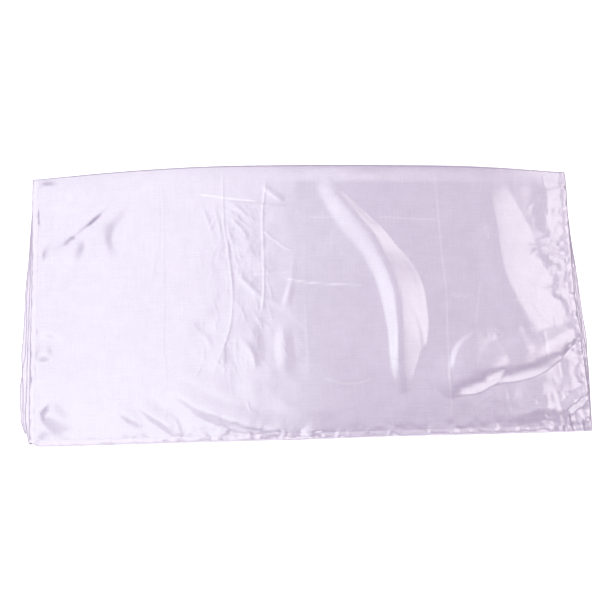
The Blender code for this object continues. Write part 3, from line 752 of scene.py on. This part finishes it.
def satin(name, light, dark, bump):
    """Pale lilac filament satin: level floats, a few thicker threads each way, a slight unevenness, and
    painted highlight and painted shade along the pressed lines.
    """
    finish = Finish(name, IOR=1.9, Specular_IOR_Level=1.0)
    cloth = finish.node("ShaderNodeUVMap", {})
    weft = threads(finish, cloth, 0.060, 0.0016)
    warp = threads(finish, cloth, 0.050, 0.0019, turned=True)
    cloud = finish.node("ShaderNodeTexNoise", {"Vector": cloth, "Scale": 14.0, "Detail": 3.0})
    haze = finish.node("ShaderNodeTexNoise", {"Vector": cloth, "Scale": 48.0, "Detail": 4.0})
    grain = finish.node("ShaderNodeTexNoise", {"Vector": cloth, "Scale": 420.0, "Detail": 2.0})
    streaks = weft * 0.55 + warp * 0.45
    shade = streaks * 0.36 + grain * 0.28 + cloud * 0.16 + haze * 0.2
    tone = finish.blend((shade - 0.5) * 2.6 + 0.5, dark, light)
    # Painted highlight and painted shade along the crease lines: the pressed attribute mixes the colour
    # towards a painted pale or a painted dark.
    pressed = finish.node("ShaderNodeAttribute", {}, output=2, attribute_name="pressed")
    paler = finish.blend(finish.node("ShaderNodeClamp", {"Value": pressed * 0.5}), tone, CREASE_PAINTED_HIGHLIGHT)
    darker = finish.blend(finish.node("ShaderNodeClamp", {"Value": pressed * -0.3}), paler, CREASE_PAINTED_SHADE)
    finish.give("Base Color", darker)
    finish.give("Roughness", 0.17 + streaks * 0.10)
    lift = finish.node(
        "ShaderNodeBump", {"Height": streaks * 0.7 + grain * 0.3, "Strength": bump, "Distance": 0.0005}
    )
    finish.give("Normal", lift)
    return finish.material


# The painted highlight and the painted shade that the crease lines are mixed towards.
CREASE_PAINTED_HIGHLIGHT = (0.84, 0.79, 0.87, 1.0)
CREASE_PAINTED_SHADE = (0.30, 0.24, 0.36, 1.0)
SATIN_LIGHT = (0.506, 0.416, 0.584, 1.0)
SATIN_DARK = (0.366, 0.298, 0.430, 1.0)
satin_finish = satin("lilac_satin", SATIN_LIGHT, SATIN_DARK, 0.25)
leaf.data.materials.append(satin_finish)

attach(leaf, "root")
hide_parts("top_leaf")

# The top leaf's hems: the satin turned under twice, 10 mm wide, and machine stitched near its inner edge.
# The stitching draws it up, so it runs in small uneven waves.
HEM_WIDTH = 10 * MM
SEAM_GAP = 0.3 * MM
HEM_STEP = 1.3 * MM
HEMMED_RUN = 0.455
HEM_TURN_STEPS = 16
HEM_LIGHT = (0.530, 0.436, 0.600, 1.0)
HEM_DARK = (0.425, 0.348, 0.488, 1.0)
PRESSED_UNDER = 0.9
HEM_SECTION = (
    (10.0, -0.35), (9.9, 0.06), (9.2, 0.20), (8.2, 0.24), (6.5, 0.46), (4.0, 0.50), (1.8, 0.40), (0.5, 0.16),
    (0.0, -0.16), (0.5, -0.50), (2.2, -0.66), (6.0, -0.70), (9.5, -0.66),
)


def lay_hem(name, along, edge, cloth_along):
    """A turned edge: its section carried along the cloth's edge, closed round and at both ends."""
    inset = np.array([d for d, _ in HEM_SECTION] + [HEM_SECTION[0][0]]) * MM
    height = np.array([h for _, h in HEM_SECTION] + [HEM_SECTION[0][1]]) * MM
    around = np.arange(len(inset), dtype=float)

    def place(turn, travel):
        k = np.rint(turn).astype(int)
        face, out = edge(travel, inset[k])
        return face + out * height[k][..., None]

    strip = lay_grid(name, around, along, place, inset, cloth_along)
    bpy.ops.object.mode_set(mode="EDIT")
    bpy.ops.mesh.select_all(action="SELECT")
    bpy.ops.mesh.remove_doubles(threshold=0.000001)
    bpy.ops.mesh.fill_holes(sides=0)
    bpy.ops.mesh.normals_make_consistent(inside=False)
    bpy.ops.object.mode_set(mode="OBJECT")
    bpy.ops.object.shade_smooth_by_angle(angle=math.radians(50))
    return strip


def long_edge(side, inward):
    """Points near a long edge of the top leaf, by station along it and distance in from it. The edge is
    pressed flat where it turns under the fold and the pile lies on it."""
    def edge(station, distance):
        guess = np.full_like(station, getattr(SIDES[0], side))
        y = mix(top_edge_y(guess), fold_centre(guess), np.clip(station, 0, 1))
        face, out = top_leaf_at(through(SIDES, "y", side, y) + inward * distance, station)
        return face, out * (1 - PRESSED_UNDER * ease(station - 1))[..., None]
    return edge


def short_edge(x, distance):
    """Points near the short end of the top leaf, by their x and distance in from it."""
    return top_leaf_at(x, distance / (fold_centre(x) - top_edge_y(x)))


leaf_stations = np.concatenate([
    np.linspace(0, 1, round(HEMMED_RUN / HEM_STEP)),
    1 + np.arange(1, HEM_TURN_STEPS + 1) / HEM_TURN_STEPS,
])
short_left = through(SIDES, "y", "top_left", top_edge_y(SIDES[0].top_left)) + HEM_WIDTH + SEAM_GAP
short_right = through(SIDES, "y", "top_right", top_edge_y(SIDES[0].top_right)) - HEM_WIDTH - SEAM_GAP
short_stops = np.linspace(short_left, short_right, round((short_right - short_left) / HEM_STEP))
hem_finish = satin("hemmed_satin", HEM_LIGHT, HEM_DARK, 0.35)
leaf_metres = top_leaf_metres(leaf_stations)
hems = [
    lay_hem("left_hem", leaf_stations, long_edge("top_left", 1), leaf_metres),
    lay_hem("right_hem", leaf_stations, long_edge("top_right", -1), leaf_metres),
    lay_hem("short_hem", short_stops, short_edge, short_stops),
]
for hem, node in zip(hems, ("hem_left", "hem_right", "hem_front")):
    hem.data.materials.append(hem_finish)
    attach(hem, "root")
    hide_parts(node)

# The hems' stitching: one line of lockstitch in matching thread, nine stitches in a little under 3 cm.
# Each stitch is a short raised float with its two ends pulled into the cloth.
STITCH_PITCH = 3.0 * MM
STITCH_LENGTH = 2.3 * MM
STITCH_THREAD = 0.36 * MM
STITCH_INSET = 8.9 * MM
STITCH_RISE = 0.24 * MM
STITCHED_FROM = 0.022
STITCHED_RUN = 0.445
THREAD_DARK = (0.50, 0.42, 0.57, 1.0)
THREAD_LIGHT = (0.68, 0.60, 0.75, 1.0)

bpy.ops.object.select_all(action="DESELECT")
bpy.ops.mesh.primitive_uv_sphere_add(segments=6, ring_count=5, radius=0.5)
one_stitch = bpy.context.object
bpy.ops.object.mode_set(mode="EDIT")
bpy.ops.mesh.select_all(action="SELECT")
bpy.ops.transform.rotate(value=math.pi / 2, orient_axis="Y", center_override=(0, 0, 0))
bpy.ops.transform.resize(value=(STITCH_LENGTH, STITCH_THREAD, STITCH_THREAD), center_override=(0, 0, 0))
bpy.ops.object.mode_set(mode="OBJECT")
stitch_points = np.array([v.co[:] for v in one_stitch.data.vertices])
stitch_faces = [tuple(f.vertices) for f in one_stitch.data.polygons]
bpy.data.objects.remove(one_stitch)


def stitch_row(name, stops, edge):
    """A line of stitches along an edge, one between each two stops, joined into one mesh."""
    face, out = edge(stops, np.full_like(stops, STITCH_INSET))
    line = face + out * STITCH_RISE
    start, end = line[:-1], line[1:]
    along = (end - start) / np.linalg.norm(end - start, axis=1)[:, None]
    across = np.cross(out[:-1], along)
    lift = np.cross(along, across)
    turned = np.stack([along, across, lift], 1)
    points = ((start + end) / 2)[:, None, :] + np.einsum("vk,nkc->nvc", stitch_points, turned)
    count = len(stitch_points)
    faces = [tuple(v + n * count for v in face) for n in range(len(start)) for face in stitch_faces]
    mesh = bpy.data.meshes.new(name)
    mesh.from_pydata(points.reshape(-1, 3), [], faces)
    mesh.shade_smooth()
    stitches = bpy.data.objects.new(name, mesh)
    bpy.context.scene.collection.objects.link(stitches)
    return stitches


def thread_finish():
    """Matching sewing thread: lilac, a little darker than the satin, with its two plies twisted."""
    finish = Finish("matching_thread", Specular_IOR_Level=0.5)
    place = finish.node("ShaderNodeTexCoord", {}, output=3)
    twist = finish.node("ShaderNodeTexNoise", {"Vector": place, "Scale": 2600.0, "Detail": 1.0})
    finish.give("Base Color", finish.blend(twist, THREAD_DARK, THREAD_LIGHT))
    finish.give("Roughness", 0.45 + twist * 0.2)
    lift = finish.node("ShaderNodeBump", {"Height": twist, "Strength": 0.4, "Distance": 0.0001})
    finish.give("Normal", lift)
    return finish.material


flat_stations = np.linspace(STITCHED_FROM, 1.0, round(STITCHED_RUN / STITCH_PITCH))
short_stitches = np.linspace(short_left, short_right, round((short_right - short_left) / STITCH_PITCH))
thread = thread_finish()
stitching = [
    stitch_row("left_stitches", flat_stations, long_edge("top_left", 1)),
    stitch_row("right_stitches", flat_stations, long_edge("top_right", -1)),
    stitch_row("short_stitches", short_stitches, short_edge),
]
for stitches in stitching:
    stitches.data.materials.append(thread)
    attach(stitches, "root")

# The three lower leaves: the rest of the same satin, one sheet that runs under the pile to the front,
# turns back up there, turns again inside the double fold and ends at the stole's other short hem. Only
# its edges show, because the leaves fan out a little at the sides and lie back a little at the front.
FOURTH_FAN, THIRD_FAN, SECOND_FAN = 1.00, 0.70, 0.35
FAN_WANDER = 0.22
FRONT_SETBACK, FRONT_SETBACK_CORNER = 7.5 * MM, 22 * MM
SECOND_SETBACK, SECOND_SETBACK_CORNER = 3.5 * MM, 4.0 * MM
NEAR_LEFT_X = -0.45
CORNER_FADE = 45 * MM
CORNER_CLOSES_Y = -186 * MM
CORNER_CLOSING = 0.72
EDGE_WAVE = 0.6 * MM
RIGHT_EDGE_WAVE = 1.2 * MM
WAVE_FROM, WAVE_OVER = 0.430, 0.012
FOURTH_HEIGHT = 1.0 * MM
THIRD_SHARE = 0.62
UNDER_PILE_TOP = 0.35 * MM
LOWEST = 0.75 * MM
INNER_CLEARANCE = 2.5 * MM
BACK_END = 3 * MM
LOWER_STEP, LOWER_HEM_STEP = 6 * MM, 2 * MM
LOWER_HEM_END = 4.995
LOWER_TRAVEL = (0, 1, 2, 3, 4, 5)
LOWER_METRES = (0, 0.450, 0.455, 0.905, 0.917, 1.367)


def lower_front_y(x, plain, corner):
    """The y of a lower leaf's front edge, which lies behind the top leaf's, and most at the left corner."""
    at_corner = np.clip(np.exp((NEAR_LEFT_X - x) / CORNER_FADE), 0, 1)
    return through(SECTIONS, "x", "hem_y", x) + mix(plain, corner, at_corner)


def lower_at(x, travel):
    """A point on the lower leaves and the way out of it, by travel along the sheet: 0 to 1 is the fourth
    leaf from back to front, 1 to 2 its turn, 2 to 3 the third leaf, 3 to 4 the inner fold and 4 to 5 the
    second leaf."""
    radius, centre = fold_radius(x), fold_centre(x)
    front = lower_front_y(x, FRONT_SETBACK, FRONT_SETBACK_CORNER)
    short_end = lower_front_y(x, SECOND_SETBACK, SECOND_SETBACK_CORNER)
    bend = radius - INNER_CLEARANCE
    leg = np.clip(np.floor(travel), 0, 4).astype(int)
    on_leg = [leg == number for number in range(5)]
    turning = [leg == 1, leg == 3]
    t = np.clip(travel - leg, 0, 1)
    y = np.select(
        on_leg,
        [mix(centre - BACK_END, front, t), front, mix(front, centre, t), centre, mix(centre, short_end, t)],
    )
    low = FOURTH_HEIGHT + 0 * x
    swell = ease(1 - (centre - y) / FOLD_SWELL_REACH)
    second = pile_top(x, y) - UNDER_PILE_TOP
    third = mix(second * THIRD_SHARE, radius - bend, swell)
    front_third = pile_top(x, front) * THIRD_SHARE - UNDER_PILE_TOP * THIRD_SHARE
    angle = math.pi * (t - 0.5)
    small = (front_third - low) / 2
    z = np.select(
        on_leg, [low, low + small + small * np.sin(angle), third, radius + bend * np.sin(angle), second]
    )
    y = y + np.select(turning, [-small * np.cos(angle), bend * np.cos(angle)], 0.0)
    up = np.select(on_leg, [-1.0 + 0 * z, np.sin(angle), 1.0 + 0 * z, -np.sin(angle), -1.0 + 0 * z])
    forth = np.select(turning, [-np.cos(angle), -np.cos(angle)], 0.0)
    outside = np.abs(x) - WAVE_FROM
    wave = wander(y / MM, 900 * outside + 40 * leg, 11, PUCKER_SEED + 9) * ease(outside / WAVE_OVER)
    most = np.where(x > 0, RIGHT_EDGE_WAVE, EDGE_WAVE) * np.where(leg == 0, 0.7, 1.0)
    z = np.maximum(z + most * wave, LOWEST)
    return np.stack([x, y, z], -1), np.stack([0 * z, forth, up], -1)


def lower_fan(travel):
    """How far the lower leaves' long edges stand out from the top leaf's, as a share of the lowest's."""
    fans = (FOURTH_FAN, FOURTH_FAN, THIRD_FAN, THIRD_FAN, SECOND_FAN, SECOND_FAN)
    return np.interp(travel, LOWER_TRAVEL, fans)


def lower_side(travel, top, low):
    """The x of a long edge of the lower leaves, which wanders a little and closes in at the left corner."""
    guess = np.full_like(travel, getattr(SIDES[0], top))
    y = lower_at(guess, travel)[0][..., 1]
    share = lower_fan(travel)
    if top == "top_left":
        share = share * (1 - CORNER_CLOSING * ease((CORNER_CLOSES_Y - y) / CORNER_FADE))
    share = share * (1 + FAN_WANDER * wander(y / MM, 60 * np.floor(travel), 34, WAVE_SEED + 8))
    return mix(through(SIDES, "y", top, y), through(SIDES, "y", low, y), np.minimum(share, 1))


def lower_place(share, travel):
    """Where a thread crossing of the lower leaves lies."""
    left = lower_side(travel, "top_left", "low_left") + EDGE_IN_HEM
    right = lower_side(travel, "top_right", "low_right") - EDGE_IN_HEM
    return lower_at(mix(left, right, share), travel)[0]


def lower_edge(top, low, inward):
    """Points near a long edge of the lower leaves, by travel along them and distance in."""
    def edge(travel, distance):
        return lower_at(lower_side(travel, top, low) + inward * distance, travel)
    return edge


def legs(step, last=5.0):
    """Stops along the lower leaves: a step apart on each leaf and closer round each turn."""
    flat = np.linspace(0, 1, round(LOWER_METRES[1] / step) + 1)
    turn = np.linspace(0, 1, TURN_STEPS + 1)[1:-1]
    return np.concatenate([flat, 1 + turn, 2 + flat, 3 + turn, 4 + flat * (last - 4)])


def lower_metres(travel):
    """Metres of cloth along the lower leaves."""
    return np.interp(travel, LOWER_TRAVEL, LOWER_METRES)


lower_columns = np.concatenate(
    [[0, 0.006, 0.014, 0.03], np.linspace(0.06, 0.94, 34), [0.97, 0.986, 0.994, 1]]
)
lower_rows = legs(LOWER_STEP)
lower = lay_grid(
    "lower_leaves", lower_columns, lower_rows, lower_place,
    lower_columns * CLOTH_WIDTH, lower_metres(lower_rows),
)
bpy.ops.object.mode_set(mode="EDIT")
bpy.ops.mesh.select_all(action="SELECT")
bpy.ops.mesh.flip_normals()
bpy.ops.object.mode_set(mode="OBJECT")
lower_thickness = lower.modifiers.new("thickness", "SOLIDIFY")
lower_thickness.thickness = CLOTH
lower_thickness.offset = 0
bpy.ops.object.modifier_apply(modifier="thickness")
bpy.ops.object.shade_smooth()
lower.data.materials.append(satin_finish)
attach(lower, "root")
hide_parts("under_leaves")

lower_stops = legs(LOWER_HEM_STEP, LOWER_HEM_END)
lower_hems = [
    lay_hem(name, lower_stops, lower_edge(top, low, inward), lower_metres(lower_stops))
    for name, top, low, inward in (
        ("lower_left_hem", "top_left", "low_left", 1),
        ("lower_right_hem", "top_right", "low_right", -1),
    )
]
for hem in lower_hems:
    hem.data.materials.append(hem_finish)
    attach(hem, "root")
